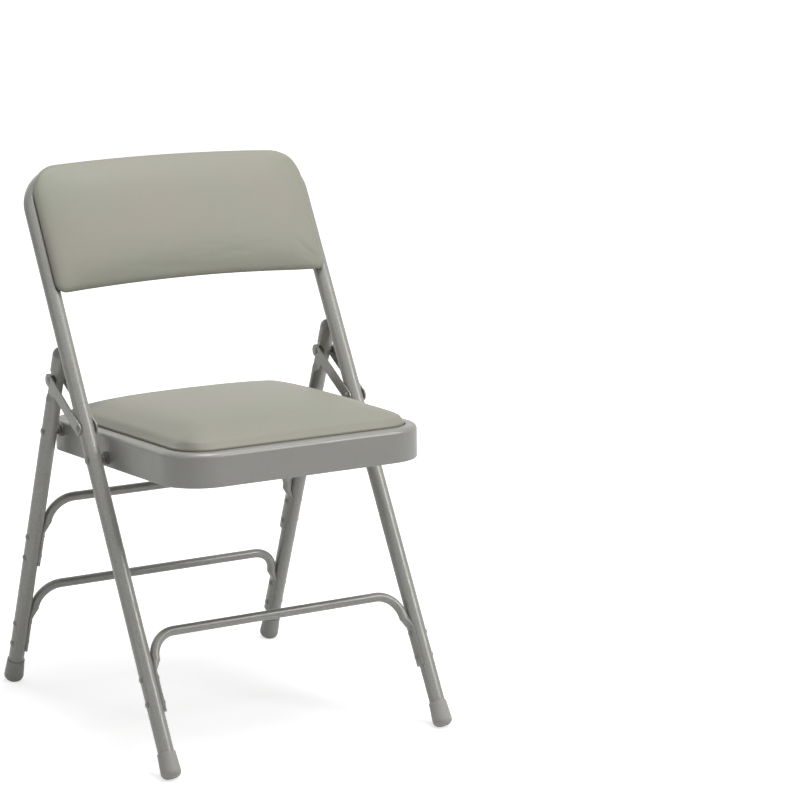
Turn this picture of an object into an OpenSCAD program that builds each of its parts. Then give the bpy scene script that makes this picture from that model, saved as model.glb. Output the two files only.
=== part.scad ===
// Folding chair: steel tube frame, padded back and seat, riveted side linkage.
// +X is the sitter's left, -Y the front, +Z up; the feet stand on z = 0.

/* [Tubing] */
// Outside diameter of the leg and back tubing
tube_d = 22; // [20:0.5:25]
// Wall of the leg and back tubing
tube_wall = 1.2; // [0.9:0.1:1.6]
// Outside diameter of the cross braces
brace_d = 13; // [11:0.5:15]
// Wall of the cross braces
brace_wall = 1.2; // [0.9:0.1:1.5]

/* [Stance] */
// Distance between the axes of the left and right legs
leg_spacing = 426; // [400:1:450]
// Lean of the front legs and back from upright, degrees
front_lean = 30.25; // [28:0.25:32]
// Lean of the rear legs from upright, degrees
rear_lean = 18.1; // [17:0.1:20]
// Length of the front frame, floor to the axis of the top bar
frame_length = 858.5; // [840:0.5:900]
// Bend radius of the two top corners, on the tube axis
top_bend = 50; // [45:1:75]

/* [Folding linkage] */
// Seat pivot, distance up the front leg from the floor
pivot_up = 447; // [435:1:460]
// Distance from the seat pivot to the rear leg pivot
seat_pivot_gap = 137.3; // [133:0.1:142]
// Rise of the rear leg pivot above the seat pivot, degrees
seat_pivot_rise = 4.8; // [4:0.1:6]
// Rear leg pivot to the link rivet, along the rear leg
link_rivet_up = 82.3; // [80:0.1:85]
// Spacing of the front and rear leg axes when folded
folded_gap = 32; // [31:0.5:35]
// Thickness of a link plate
link_t = 2; // [1.5:0.1:2.5]
// Radius of the round ends of a link plate
link_end_r = 9; // [8.4:0.1:9.5]

/* [Rivets] */
// Diameter of the pivot rivets
pivot_d = 8; // [7:0.1:8.5]
// Diameter of the pivot rivet heads
pivot_head_d = 11; // [10:0.5:12]
// Height of the pivot rivet heads
pivot_head_h = 1.8; // [1.4:0.1:2]
// Diameter of the pin through the top of each rear leg
leg_pin_d = 12; // [10:0.5:13]
// Diameter of the brace rivets
brace_rivet_d = 5; // [4:0.1:5.5]
// Diameter of the brace rivet heads
brace_head_d = 9; // [8:0.5:10]
// Height of the brace rivet heads
brace_head_h = 1.8; // [1.4:0.1:2.2]

/* [Braces] */
// Front brace, distance of its bar up the front legs
front_brace_up = 198.3; // [180:0.5:215]
// Lower rear brace, distance of its bar up the rear legs
low_brace_up = 158.8; // [150:0.5:175]
// Upper rear brace, distance of its bar up the rear legs
high_brace_up = 304.8; // [290:0.5:310]
// Bend radius of the braces, on the tube axis
brace_bend = 36; // [30:1:42]
// From the bar's axis down to the end of the flattened tail
tail_drop = 106; // [98:1:112]
// Thickness of the flattened tail
tail_t = 3.6; // [3:0.1:4]
// Spacing of the two rivets in a tail
tail_rivet_pitch = 34; // [28:1:38]
// From the end of a tail to its first rivet
tail_rivet_edge = 13; // [9:0.5:15]
// Length of a plug's stem inside the rear leg
plug_stem = 14; // [10:1:20]

/* [Feet] */
// Height of a foot cap along its leg
cap_h = 35; // [30:0.5:42]
// Diameter of a foot cap at its mouth
cap_mouth_d = 25; // [24:0.5:28]
// Diameter of a foot cap at its foot
cap_foot_d = 28; // [26:0.5:30]
// Radius of the foot cap's rounded bottom edge
cap_round = 9; // [6:0.5:11]
// Depth of the flat that rests on the floor
cap_flat = 0.8; // [0.5:0.1:1.5]
// Thickness of the cap's bottom under the tube
cap_floor = 5; // [3:0.5:7]

/* [Seat] */
// From the seat pivot forward to the front edge
seat_front = 215; // [205:1:222]
// From the seat pivot back to the rear edge
seat_rear = 178; // [174:1:184]
// Slope of the seat down to the rear, degrees
seat_slope = 3.3; // [1:0.1:5]
// Height of the pan's flange
pan_h = 46; // [42:0.5:50]
// Height of the seat pivot above the pan's lower edge
pan_pivot_h = 12.4; // [11:0.1:14]
// Sheet thickness of the pan
pan_t = 1; // [0.8:0.1:1.3]
// Corner radius at the front of the pan
pan_front_r = 60; // [45:1:75]
// Corner radius at the rear of the pan
pan_rear_r = 30; // [28:1:31]
// Radius of the pan's upper edge
rim_r = 7; // [4:0.5:8]
// Width of the rim around the cushion
rim_w = 15; // [13:0.5:17]
// Depth of the recess that holds the seat board
recess = 7; // [5:0.5:9]
// Width of the hem turned in under the flange
hem_w = 8; // [6:0.5:9]
// Room between the leg tubes and the pan's flange
seat_side_gap = 8; // [7.5:0.1:10]
// Thickness of the seat board
seat_board_t = 6; // [4:0.5:7]
// Height of the cushion's crown above the rim
seat_crown = 31; // [24:1:36]

/* [Back] */
// Lower edge of the back pad, distance up the frame
pad_bottom = 680; // [670:1:700]
// Rise of the lower edge at the middle
pad_arch = 8; // [1:1:12]
// Rise of the upper edge above the axis of the top bar, at the middle
pad_over = 15.5; // [8:0.5:18]
// Rise of the upper edge from its corners to its middle
pad_bow = 7.5; // [1:0.5:10]
// Lift of the rear lower edge above the front one
rear_lift = 6.5; // [0:0.5:10]
// How far the pad's crown stands in front of the frame's plane
pad_crown = 28; // [22:1:34]
// Radius of the pad's lower corners
pad_corner_r = 16; // [12:1:28]
// Radius of the pad's upper corners
pad_top_r = 42; // [36:1:60]
// Thickness of the back board
back_board_t = 6; // [4:0.5:8]
// Thickness of the rear cover panel
back_cover_t = 3; // [2:0.5:4]
// Width of the four tabs that hold the back
tab_w = 24; // [18:1:30]
// Thickness of the tabs
tab_t = 2; // [1.5:0.1:3]
// Reach of the tabs in from the tubes
tab_reach = 24; // [20:1:30]

/* [Screws] */
// Diameter of the board screws
screw_d = 4; // [3:0.1:5]
// Diameter of the screw heads
screw_head_d = 8.5; // [7:0.1:10]
// Height of the screw heads
screw_head_h = 2.4; // [1.8:0.1:3]
// Seat screws, distance out from the middle
seat_screw_out = 110; // [90:1:130]
// End seat screws, distance in from the front and rear edges
seat_screw_in = 66; // [58:1:80]
// Middle seat screws, distance in front of the seat pivot
seat_screw_mid = 20; // [10:1:30]

/* [Clearances] */
// Radial running clearance of a pivot
pivot_play = 0.05; // [0.02:0.01:0.1]
// Radial clearance of what sits fast in a hole
fast_play = 0.02; // [0.01:0.01:0.05]
// Play between moving faces
face_play = 0.3; // [0.2:0.05:0.4]
// Gap between parts that rest on each other
rest_gap = 0.05; // [0.02:0.01:0.1]
// Gap around the cushion and the back pad
pad_gap = 1; // [0.5:0.5:3]

/* [Hidden] */
$fn = 64;
tube_r = tube_d / 2;
brace_r = brace_d / 2;
half_spacing = leg_spacing / 2;
inner_face = half_spacing - tube_r;
hole_d = pivot_d + 2 * fast_play;
run_d = pivot_d + 2 * pivot_play;

// Side view of the linkage: [y, z] with the front leg meeting the floor at [0, 0]
front_dir = [sin(front_lean), cos(front_lean)];
behind_dir = [cos(front_lean), -sin(front_lean)];
rear_dir = [-sin(rear_lean), cos(rear_lean)];
seat_pivot = pivot_up * front_dir;
rear_pivot = seat_pivot + seat_pivot_gap * [cos(seat_pivot_rise), sin(seat_pivot_rise)];
link_rivet = rear_pivot + link_rivet_up * rear_dir;
rear_pivot_up = rear_pivot[1] / cos(rear_lean);
rear_foot_y = rear_pivot[0] + rear_pivot_up * sin(rear_lean);

// The link's front pivot sits where its length is the same open and folded
open_along = (link_rivet - seat_pivot) * front_dir;
open_off = (link_rivet - seat_pivot) * behind_dir;
folded_along = link_rivet_up - sqrt(pow(seat_pivot_gap, 2) - pow(folded_gap, 2));
open_sq = pow(open_along, 2) + pow(open_off, 2);
folded_sq = pow(folded_along, 2) + pow(folded_gap, 2);
link_pivot_up = (open_sq - folded_sq) / (2 * (open_along - folded_along));
link_pivot = seat_pivot + link_pivot_up * front_dir;
link_vec = link_rivet - link_pivot;
link_len = norm(link_vec);
link_tilt = atan2(link_vec[1], link_vec[0]);
// A plate's waist passes beside the seat pivot's head when folded
link_half_w = link_pivot_up * folded_gap / link_len - pivot_head_d / 2 - face_play;

// Rear leg top: a round plug resting on the back of the front tube
lines_angle = front_lean + rear_lean;
plug_past_rivet = (open_off - tube_d - face_play) / sin(lines_angle);
plug_up = rear_pivot_up + link_rivet_up + plug_past_rivet;

// Foot caps: the bottom edge's ring is tangent to the floor
cap_ring_r = cap_foot_d / 2 - cap_round;
function cap_bottom(lean) =
    (cap_round - cap_flat + cap_ring_r * sin(lean)) / cos(lean) - cap_round;
front_reach = cap_ring_r * cos(front_lean) + cap_round
    - (cap_bottom(front_lean) + cap_round) * sin(front_lean);
rear_reach = cap_ring_r * cos(rear_lean) + cap_round
    - (cap_bottom(rear_lean) + cap_round) * sin(rear_lean);
// The origin is midway between the tips of the front and rear caps
shift_y = -(rear_foot_y + rear_reach - front_reach) / 2;

// Where the front frame's top corners start to bend
bends_up = frame_length - top_bend;

// Layers across the side, from the tube's inner face towards the pan
link_in = inner_face - face_play;
link_out = half_spacing + tube_r + face_play;
pan_w = inner_face - seat_side_gap;
bush_step = link_in - link_t - 2 * face_play - pivot_head_h;
bush_r = pivot_d / 2 + 1.4;
bush_flange_r = pivot_head_d / 2 + 3.4;

// Rear leg's flattened stretch around the pin
flat_half = 6;
flat_above = 7;
flat_below = 26;
shoulder = 7;

// Braces: bar, bend, neck and flattened tail
bar_half = inner_face - brace_r - 2 * fast_play - brace_bend;
tail_neck = 14;
tail_angle = 40;
tail_in = tube_r + rest_gap;
tail_out = tail_in + tail_t;

// Pan, heights above its lower edge
hem_r = 2;
wall_in = rim_w + pan_t;
floor_top = pan_h - recess;
cushion_inset = wall_in + pad_gap;
cushion_wrap = 4;
rear_off = rear_pivot - seat_pivot;
rear_in_pan = [
    rear_off[0] * cos(seat_slope) - rear_off[1] * sin(seat_slope),
    rear_off[0] * sin(seat_slope) + rear_off[1] * cos(seat_slope)
];
seat_screws_at = [
    for (x = [-seat_screw_out, seat_screw_out])
        for (y = [seat_screw_in - seat_front, -seat_screw_mid, seat_rear - seat_screw_in]) [x, y]
];
// The cushion's rounding: [inset from its edge, share of its height]
cushion_steps = [[0, 0.2], [4, 0.45], [14, 0.66], [40, 0.85], [80, 0.96], [130, 1]];

// Back, distances in front of the frame's plane
pad_rear = tube_r + face_play;
board_front = back_board_t - 2;
cover_front = board_front - back_board_t - rest_gap;
tab_front = cover_front - back_cover_t - rest_gap;
pad_half = half_spacing;
pad_top = frame_length + pad_over;
inside_half = inner_face - face_play;
inside_low = pad_bottom + rear_lift;
inside_top = frame_length - tube_r - face_play;
inside_r = top_bend - tube_r;
board_in = 5;
tab_levels = [inside_low + tab_w * 1.5, bends_up - tab_w / 2];
// The pad's rounding: [inset from its edge, share of its depth]
pad_steps = [[0, 0.2], [6, 0.56], [18, 0.82], [44, 1]];
pad_overlap = 1;

// Places: each puts its children in the part's frame

// Along the front legs: z up the leg, y behind their plane
module on_front() {
    translate([0, shift_y, 0])
        rotate([-front_lean, 0, 0])
            children();
}

// Along the rear legs: z up the leg, y behind their plane
module on_rear() {
    translate([0, shift_y + rear_foot_y, 0])
        rotate([rear_lean, 0, 0])
            children();
}

// On the seat: the origin at the seat pivot, y to the rear
module on_seat() {
    translate([0, shift_y + seat_pivot[0], seat_pivot[1]])
        rotate([-seat_slope, 0, 0])
            children();
}

// On the links: the origin at the link pivot, y towards the rear leg
module on_link() {
    translate([0, shift_y + link_pivot[0], link_pivot[1]])
        rotate([link_tilt, 0, 0])
            children();
}

module both_sides() {
    children();
    mirror([1, 0, 0])
        children();
}

// Stands a shape drawn along z on its side, along x
module along_x() {
    rotate([0, 90, 0])
        children();
}

// Shared shapes

// A round pin along z with a domed head past each end that has one
module headed_pin(low, high, d, head_d, head_h, low_head = true, high_head = true) {
    dome_r = (pow(head_d / 2, 2) + pow(head_h, 2)) / (2 * head_h);
    dome_angle = asin(head_d / 2 / dome_r);
    dome = [
        for (i = [0:5])
            let (a = dome_angle * i / 5)
                [dome_r * sin(a), head_h - dome_r * (1 - cos(a))]
    ];
    low_end = low_head ? [for (p = dome) [p[0], low - p[1]]] : [[0, low]];
    high_end = high_head ? [for (i = [5:-1:0]) [dome[i][0], high + dome[i][1]]] : [[0, high]];
    rotate_extrude()
        polygon(concat(low_end, [[d / 2, low], [d / 2, high]], high_end));
}

module bore_x(x0, x1, d) {
    translate([x0, 0, 0])
        along_x()
            cylinder(d = d, h = x1 - x0);
}

// A flat outline, low to high along y, with two corner radii
module plate_outline(half_w, low, high, low_r, high_r) {
    for (s = [-1, 1]) {
        translate([s * (half_w - low_r), low + low_r])
            circle(r = low_r);
        translate([s * (half_w - high_r), high - high_r])
            circle(r = high_r);
    }
    translate([low_r - half_w, low])
        square([2 * (half_w - low_r), low_r]);
    translate([high_r - half_w, high - high_r])
        square([2 * (half_w - high_r), high_r]);
    translate([-half_w, low + low_r])
        square([2 * half_w, high - high_r - low - low_r]);
}

// Radius of an arc that rises by rise over half its chord
function arc_radius(half_chord, rise) = (pow(half_chord, 2) + pow(rise, 2)) / (2 * rise);

// Where a brace's two rivets sit along its legs
function tail_rivets(bar_up) =
    [for (i = [0, 1]) bar_up - tail_drop + tail_rivet_edge + i * tail_rivet_pitch];

module brace_rivet_bores(bar_up) {
    for (s = tail_rivets(bar_up))
        translate([0, 0, s])
            bore_x(0, half_spacing + 2 * tube_r, brace_rivet_d + 2 * fast_play);
}

module brace_rivets(bar_up) {
    both_sides()
        for (s = tail_rivets(bar_up))
            translate([0, 0, s])
                along_x()
                    headed_pin(
                        half_spacing - tail_out - rest_gap,
                        half_spacing + tube_r + rest_gap,
                        brace_rivet_d, brace_head_d, brace_head_h
                    );
}

// Front frame

module tube_section() {
    difference() {
        circle(r = tube_r);
        circle(r = tube_r - tube_wall);
    }
}

module front_frame_run() {
    low = cap_bottom(front_lean) + cap_floor + rest_gap;
    both_sides() {
        translate([half_spacing, 0, bends_up])
            mirror([0, 0, 1])
                linear_extrude(height = bends_up - low)
                    tube_section();
        translate([half_spacing - top_bend, 0, bends_up])
            rotate([90, 0, 0])
                rotate_extrude(angle = 90)
                    translate([top_bend, 0])
                        tube_section();
    }
    translate([top_bend - half_spacing, 0, frame_length])
        along_x()
            linear_extrude(height = 2 * (half_spacing - top_bend))
                tube_section();
}

module front_frame_tube() {
    color("darkgray")
        on_front()
            difference() {
                front_frame_run();
                both_sides() {
                    for (s = [pivot_up, pivot_up + link_pivot_up])
                        translate([0, 0, s])
                            bore_x(inner_face - 1, half_spacing + 2 * tube_r, hole_d);
                    brace_rivet_bores(front_brace_up);
                }
            }
}

// Braces

module brace_run(bar_up, r) {
    translate([-bar_half, 0, bar_up])
        along_x()
            cylinder(r = r, h = 2 * bar_half);
    both_sides()
        translate([bar_half, 0, bar_up - brace_bend])
            rotate([90, 0, 0])
                rotate_extrude(angle = 90)
                    translate([brace_bend, 0])
                        circle(r = r);
}

// Cross-section of the flattened tail, wrapped round the leg's inner side
module tail_section() {
    reach = 2 * tail_out;
    intersection() {
        difference() {
            circle(r = tail_out);
            circle(r = tail_in);
        }
        polygon([[0, 0], [-reach, -reach * tan(tail_angle)], [-reach, reach * tan(tail_angle)]]);
    }
}

module brace_end(bar_up) {
    neck_top = bar_up - brace_bend;
    difference() {
        hull() {
            translate([bar_half + brace_bend, 0, neck_top - 0.1])
                cylinder(r = brace_r, h = 0.1, $fn = 32);
            translate([half_spacing, 0, neck_top - tail_neck])
                linear_extrude(height = 0.1)
                    tail_section($fn = 32);
        }
        translate([half_spacing, 0, neck_top - tail_neck - 1])
            cylinder(r = tail_in, h = tail_neck + 2);
    }
    translate([half_spacing, 0, bar_up - tail_drop])
        linear_extrude(height = tail_drop - brace_bend - tail_neck)
            tail_section();
}

module brace(bar_up) {
    difference() {
        union() {
            brace_run(bar_up, brace_r);
            both_sides()
                brace_end(bar_up);
        }
        brace_run(bar_up, brace_r - brace_wall);
        both_sides()
            brace_rivet_bores(bar_up);
    }
}

module front_brace() {
    color("darkgray")
        on_front()
            brace(front_brace_up);
}

module lower_rear_brace() {
    color("darkgray")
        on_rear()
            brace(low_brace_up);
}

module upper_rear_brace() {
    color("darkgray")
        on_rear()
            brace(high_brace_up);
}

module front_brace_rivets() {
    color("gray")
        on_front()
            brace_rivets(front_brace_up);
}

module lower_brace_rivets() {
    color("gray")
        on_rear()
            brace_rivets(low_brace_up);
}

module upper_brace_rivets() {
    color("gray")
        on_rear()
            brace_rivets(high_brace_up);
}

// Feet

// A cap drawn along its leg, its flat cut level with the floor
module foot_cap(lean, turn) {
    low = cap_bottom(lean);
    edge = [
        for (a = [-90:15:0])
            [cap_ring_r + cap_round * cos(a), low + cap_round * (1 + sin(a))]
    ];
    mouth_r = tube_r + fast_play;
    inside = [
        [cap_mouth_d / 2, low + cap_h], [mouth_r, low + cap_h],
        [mouth_r, low + cap_floor], [0, low + cap_floor], [0, low]
    ];
    difference() {
        rotate([turn, 0, 0])
            rotate_extrude()
                polygon(concat(edge, inside));
        translate([-cap_foot_d, -cap_foot_d, -cap_foot_d])
            cube([2 * cap_foot_d, 2 * cap_foot_d, cap_foot_d]);
    }
}

module front_foot_cap(side) {
    color("silver")
        translate([side * half_spacing, shift_y, 0])
            foot_cap(front_lean, -front_lean);
}

module rear_foot_cap(side) {
    color("silver")
        translate([side * half_spacing, shift_y + rear_foot_y, 0])
            foot_cap(rear_lean, rear_lean);
}

// Pivots of the seat and the links

// Rivet through a leg and the pan's flange
module flange_rivet() {
    along_x()
        headed_pin(
            pan_w - pan_t - face_play, half_spacing + tube_r + rest_gap,
            pivot_d, pivot_head_d, pivot_head_h
        );
}

// Stepped bush between a leg and the pan's flange
module flange_bush() {
    difference() {
        union() {
            bore_x(bush_step, inner_face - rest_gap, 2 * bush_r);
            bore_x(pan_w + face_play, bush_step, 2 * bush_flange_r);
        }
        bore_x(pan_w, inner_face, hole_d);
    }
}

module seat_pivot_rivets() {
    color("gray")
        on_front()
            both_sides()
                translate([0, 0, pivot_up])
                    flange_rivet();
}

module seat_pivot_bushes() {
    color("dimgray")
        on_front()
            both_sides()
                translate([0, 0, pivot_up])
                    flange_bush();
}

module rear_pivot_rivets() {
    color("gray")
        on_rear()
            both_sides()
                translate([0, 0, rear_pivot_up])
                    flange_rivet();
}

module rear_pivot_bushes() {
    color("dimgray")
        on_rear()
            both_sides()
                translate([0, 0, rear_pivot_up])
                    flange_bush();
}

module link_pivot_rivets() {
    color("gray")
        on_front()
            both_sides()
                translate([0, 0, pivot_up + link_pivot_up])
                    along_x()
                        headed_pin(
                            link_in - link_t - face_play, link_out + link_t + face_play,
                            pivot_d, pivot_head_d, pivot_head_h
                        );
}

// Links

module link_plate(x0) {
    translate([x0, 0, 0])
        along_x()
            linear_extrude(height = link_t)
                difference() {
                    union() {
                        circle(r = link_end_r);
                        translate([0, link_len])
                            circle(r = link_end_r);
                        translate([-link_half_w, 0])
                            square([2 * link_half_w, link_len]);
                    }
                    circle(d = run_d);
                    translate([0, link_len])
                        circle(d = hole_d);
                }
}

module link_plates() {
    color("darkgray")
        on_link() {
            link_plate(link_out);
            link_plate(link_in - link_t);
        }
}

module link_rivets() {
    color("gray")
        on_link()
            translate([0, link_len, 0])
                along_x() {
                    headed_pin(
                        link_out, link_out + link_t + rest_gap,
                        pivot_d, pivot_head_d, pivot_head_h, low_head = false
                    );
                    headed_pin(
                        link_in - link_t - rest_gap, link_in,
                        pivot_d, pivot_head_d, pivot_head_h, high_head = false
                    );
                }
}

// Rear legs

// The leg's run, squeezed from the sides around the pin
module rear_leg_run(r, flat, low, high) {
    pin_up = rear_pivot_up + link_rivet_up;
    right = [
        [r, low], [r, pin_up - flat_below - shoulder], [flat, pin_up - flat_below],
        [flat, pin_up + flat_above], [r, pin_up + flat_above + shoulder], [r, high]
    ];
    left = [for (i = [5:-1:0]) [-right[i][0], right[i][1]]];
    intersection() {
        translate([0, 0, low])
            cylinder(r = r, h = high - low);
        translate([0, 2 * r, 0])
            rotate([90, 0, 0])
                linear_extrude(height = 4 * r)
                    polygon(concat(right, left));
    }
}

module rear_leg(side) {
    low = cap_bottom(rear_lean) + cap_floor + rest_gap;
    color("darkgray")
        on_rear()
            difference() {
                translate([side * half_spacing, 0, 0])
                    difference() {
                        rear_leg_run(tube_r, flat_half, low, plug_up);
                        rear_leg_run(
                            tube_r - tube_wall, flat_half - tube_wall, low - 1, plug_up + 1
                        );
                        translate([0, 0, rear_pivot_up + link_rivet_up])
                            bore_x(-tube_r, tube_r, leg_pin_d + 2 * fast_play);
                    }
                scale_side(side) {
                    translate([0, 0, rear_pivot_up])
                        bore_x(inner_face - 1, half_spacing + 2 * tube_r, hole_d);
                    brace_rivet_bores(low_brace_up);
                    brace_rivet_bores(high_brace_up);
                }
            }
}

// Mirrors its children to the other side when side is -1
module scale_side(side) {
    if (side > 0) {
        children();
    } else {
        mirror([1, 0, 0])
            children();
    }
}

module rear_leg_plugs() {
    stem_r = tube_r - tube_wall - fast_play;
    dome = [for (a = [0:15:90]) [tube_r * cos(a), tube_r * sin(a)]];
    color("dimgray")
        on_rear()
            both_sides()
                translate([half_spacing, 0, plug_up + rest_gap])
                    rotate_extrude()
                        polygon(concat([[0, -plug_stem], [stem_r, -plug_stem], [stem_r, 0]], dome));
}

module link_leg_pins() {
    color("gray")
        on_rear()
            both_sides()
                translate([0, 0, rear_pivot_up + link_rivet_up])
                    bore_x(inner_face, half_spacing + tube_r, leg_pin_d);
}

// Seat

// Outline of the seat, drawn in by inset
module seat_outline(inset) {
    plate_outline(
        pan_w - inset, inset - seat_front, seat_rear - inset,
        max(pan_front_r - inset, hem_r), max(pan_rear_r - inset, hem_r)
    );
}

// Section through the pan's edge, x = 0 at its outer face
module pan_section() {
    top_r = rim_r - pan_t;
    outer = concat(
        [[-hem_w, 0]],
        [for (a = [270:30:360]) [-hem_r + hem_r * cos(a), hem_r + hem_r * sin(a)]],
        [for (a = [0:15:90]) [-rim_r + rim_r * cos(a), pan_h - rim_r + rim_r * sin(a)]],
        [for (a = [90:30:180]) [-wall_in + hem_r + hem_r * cos(a), pan_h - hem_r + hem_r * sin(a)]]
    );
    inner = concat(
        [[-wall_in, floor_top - pan_t], [-rim_w, floor_top - pan_t], [-rim_w, pan_h - pan_t]],
        [for (a = [90:-15:0]) [-rim_r + top_r * cos(a), pan_h - rim_r + top_r * sin(a)]],
        [[-pan_t, hem_r], [-hem_r, pan_t], [-hem_w, pan_t]]
    );
    polygon(concat(outer, inner));
}

module pan_straight(length) {
    translate([0, length / 2, 0])
        rotate([90, 0, 0])
            linear_extrude(height = length)
                pan_section();
}

module pan_corner(r) {
    rotate_extrude(angle = 90)
        translate([r, 0])
            pan_section();
}

module pan_edge() {
    side_len = seat_front + seat_rear - pan_front_r - pan_rear_r;
    both_sides() {
        translate([pan_w, (seat_rear - pan_rear_r - seat_front + pan_front_r) / 2, 0])
            pan_straight(side_len);
        translate([pan_w - pan_rear_r, seat_rear - pan_rear_r, 0])
            pan_corner(pan_rear_r);
        translate([pan_w - pan_front_r, pan_front_r - seat_front, 0])
            rotate([0, 0, -90])
                pan_corner(pan_front_r);
    }
    translate([0, seat_rear, 0])
        rotate([0, 0, 90])
            pan_straight(2 * (pan_w - pan_rear_r));
    translate([0, -seat_front, 0])
        rotate([0, 0, -90])
            pan_straight(2 * (pan_w - pan_front_r));
}

module seat_screw_bores() {
    for (p = seat_screws_at)
        translate([p[0], p[1], floor_top - 2 * pan_t])
            cylinder(d = screw_d + 2 * fast_play, h = 2 * pan_t + seat_board_t);
}

module seat_pan() {
    color("gray")
        on_seat()
            difference() {
                translate([0, 0, -pan_pivot_h])
                    union() {
                        pan_edge();
                        translate([0, 0, floor_top - pan_t])
                            linear_extrude(height = pan_t)
                                seat_outline(wall_in - pan_t / 2);
                    }
                for (p = [[0, 0], rear_in_pan])
                    translate([0, p[0], p[1]])
                        both_sides()
                            bore_x(pan_w - 2 * pan_t, pan_w + 1, run_d);
                translate([0, 0, -pan_pivot_h])
                    seat_screw_bores();
            }
}

module seat_board() {
    color("tan")
        on_seat()
            translate([0, 0, -pan_pivot_h])
                difference() {
                    translate([0, 0, floor_top + rest_gap])
                        linear_extrude(height = seat_board_t)
                            seat_outline(cushion_inset + cushion_wrap);
                    seat_screw_bores();
                }
}

module seat_cushion() {
    low = floor_top + rest_gap;
    color("darkseagreen")
        on_seat()
            translate([0, 0, -pan_pivot_h])
                difference() {
                    hull($fn = 32) {
                        translate([0, 0, low])
                            linear_extrude(height = recess + seat_crown * cushion_steps[0][1])
                                seat_outline(cushion_inset);
                        for (s = cushion_steps)
                            translate([0, 0, pan_h + seat_crown * s[1] - 1])
                                linear_extrude(height = 1)
                                    seat_outline(cushion_inset + s[0]);
                    }
                    translate([0, 0, low - 1])
                        linear_extrude(height = seat_board_t + 1 + rest_gap)
                            seat_outline(cushion_inset + cushion_wrap - rest_gap);
                }
}

module seat_screws() {
    color("gray")
        on_seat()
            translate([0, 0, -pan_pivot_h])
                for (p = seat_screws_at)
                    translate([p[0], p[1], 0])
                        headed_pin(
                            floor_top - pan_t - rest_gap, floor_top + seat_board_t - pan_t,
                            screw_d, screw_head_d, screw_head_h, high_head = false
                        );
}

// Back

// Lays an outline drawn in x and y against the frame's plane, behind front
module back_layer(front, thick) {
    translate([0, thick - front, 0])
        rotate([90, 0, 0])
            linear_extrude(height = thick)
                children();
}

// The arch that lifts the lower edge, its ends at the pad's corners
module arch(low) {
    r = arc_radius(pad_half, pad_arch);
    translate([0, low + pad_arch - r])
        circle(r = r, $fn = 180);
}

module back_inside(drawn_in) {
    difference() {
        plate_outline(
            inside_half - drawn_in, inside_low + drawn_in, inside_top - drawn_in,
            pad_corner_r - drawn_in, inside_r - drawn_in
        );
        arch(inside_low + drawn_in);
    }
}

// The pad's outline, bowed along its top
module pad_outline(drawn_in) {
    high = pad_top - drawn_in;
    high_r = pad_top_r - drawn_in / 2;
    bowed_half = pad_half - drawn_in - high_r;
    plate_outline(
        pad_half - drawn_in, pad_bottom + drawn_in, high - pad_bow,
        pad_corner_r, high_r
    );
    polygon([
        for (f = [-0.75:0.25:0.75]) [f * bowed_half, high - pad_bow * pow(f, 2)]
    ]);
}

module back_pad() {
    depth = pad_crown - pad_rear;
    color("darkseagreen")
        on_front()
            union() {
                difference() {
                    hull($fn = 32)
                        for (s = pad_steps)
                            back_layer(pad_rear + depth * s[1], depth * pad_steps[0][1])
                                pad_outline(s[0]);
                    back_layer(pad_crown + 1, pad_crown)
                        arch(pad_bottom);
                }
                back_layer(
                    pad_rear + pad_overlap, pad_rear + pad_overlap - board_front - rest_gap
                )
                    back_inside(0);
            }
}

module back_screw_bores() {
    both_sides()
        for (s = tab_levels)
            translate([inner_face - tab_reach / 2 - 2, 1 - board_front, s])
                rotate([-90, 0, 0])
                    cylinder(d = screw_d + 2 * fast_play, h = pad_crown);
}

module back_board() {
    color("tan")
        on_front()
            difference() {
                back_layer(board_front, back_board_t)
                    back_inside(board_in);
                back_screw_bores();
            }
}

module back_cover() {
    color("darkseagreen")
        on_front()
            difference() {
                back_layer(cover_front, back_cover_t)
                    back_inside(0);
                back_screw_bores();
            }
}

module back_tabs() {
    color("darkgray")
        on_front()
            difference() {
                both_sides()
                    for (s = tab_levels)
                        translate([inner_face - tab_reach, -tab_front, s - tab_w / 2])
                            cube([tab_reach + tube_r, tab_t, tab_w]);
                both_sides()
                    translate([half_spacing, 0, 0])
                        cylinder(r = tube_r + rest_gap, h = frame_length);
                back_screw_bores();
            }
}

module back_screws() {
    color("gray")
        on_front()
            both_sides()
                for (s = tab_levels)
                    translate([inner_face - tab_reach / 2 - 2, 0, s])
                        rotate([-90, 0, 0])
                            headed_pin(
                                1.5 - board_front, rest_gap + tab_t - tab_front,
                                screw_d, screw_head_d, screw_head_h, low_head = false
                            );
}

front_frame_tube();
front_brace();
front_brace_rivets();
front_foot_cap(1);  // front_foot_cap_left
front_foot_cap(-1);  // front_foot_cap_right
seat_pivot_rivets();
seat_pivot_bushes();
link_pivot_rivets();
back_pad();
back_board();
back_cover();
back_tabs();
back_screws();
seat_pan();
seat_board();
seat_cushion();
seat_screws();
rear_leg(1);  // rear_leg_left
rear_leg(-1);  // rear_leg_right
rear_leg_plugs();
lower_rear_brace();
upper_rear_brace();
lower_brace_rivets();
upper_brace_rivets();
rear_foot_cap(1);  // rear_foot_cap_left
rear_foot_cap(-1);  // rear_foot_cap_right
rear_pivot_rivets();
rear_pivot_bushes();
link_leg_pins();
link_plates();  // link_plates_left
link_rivets();  // link_rivets_left
mirror([1, 0, 0]) link_plates();  // link_plates_right
mirror([1, 0, 0]) link_rivets();  // link_rivets_right
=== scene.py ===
import math

import bmesh
import bpy
from mathutils import Matrix, Vector, noise


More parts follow.
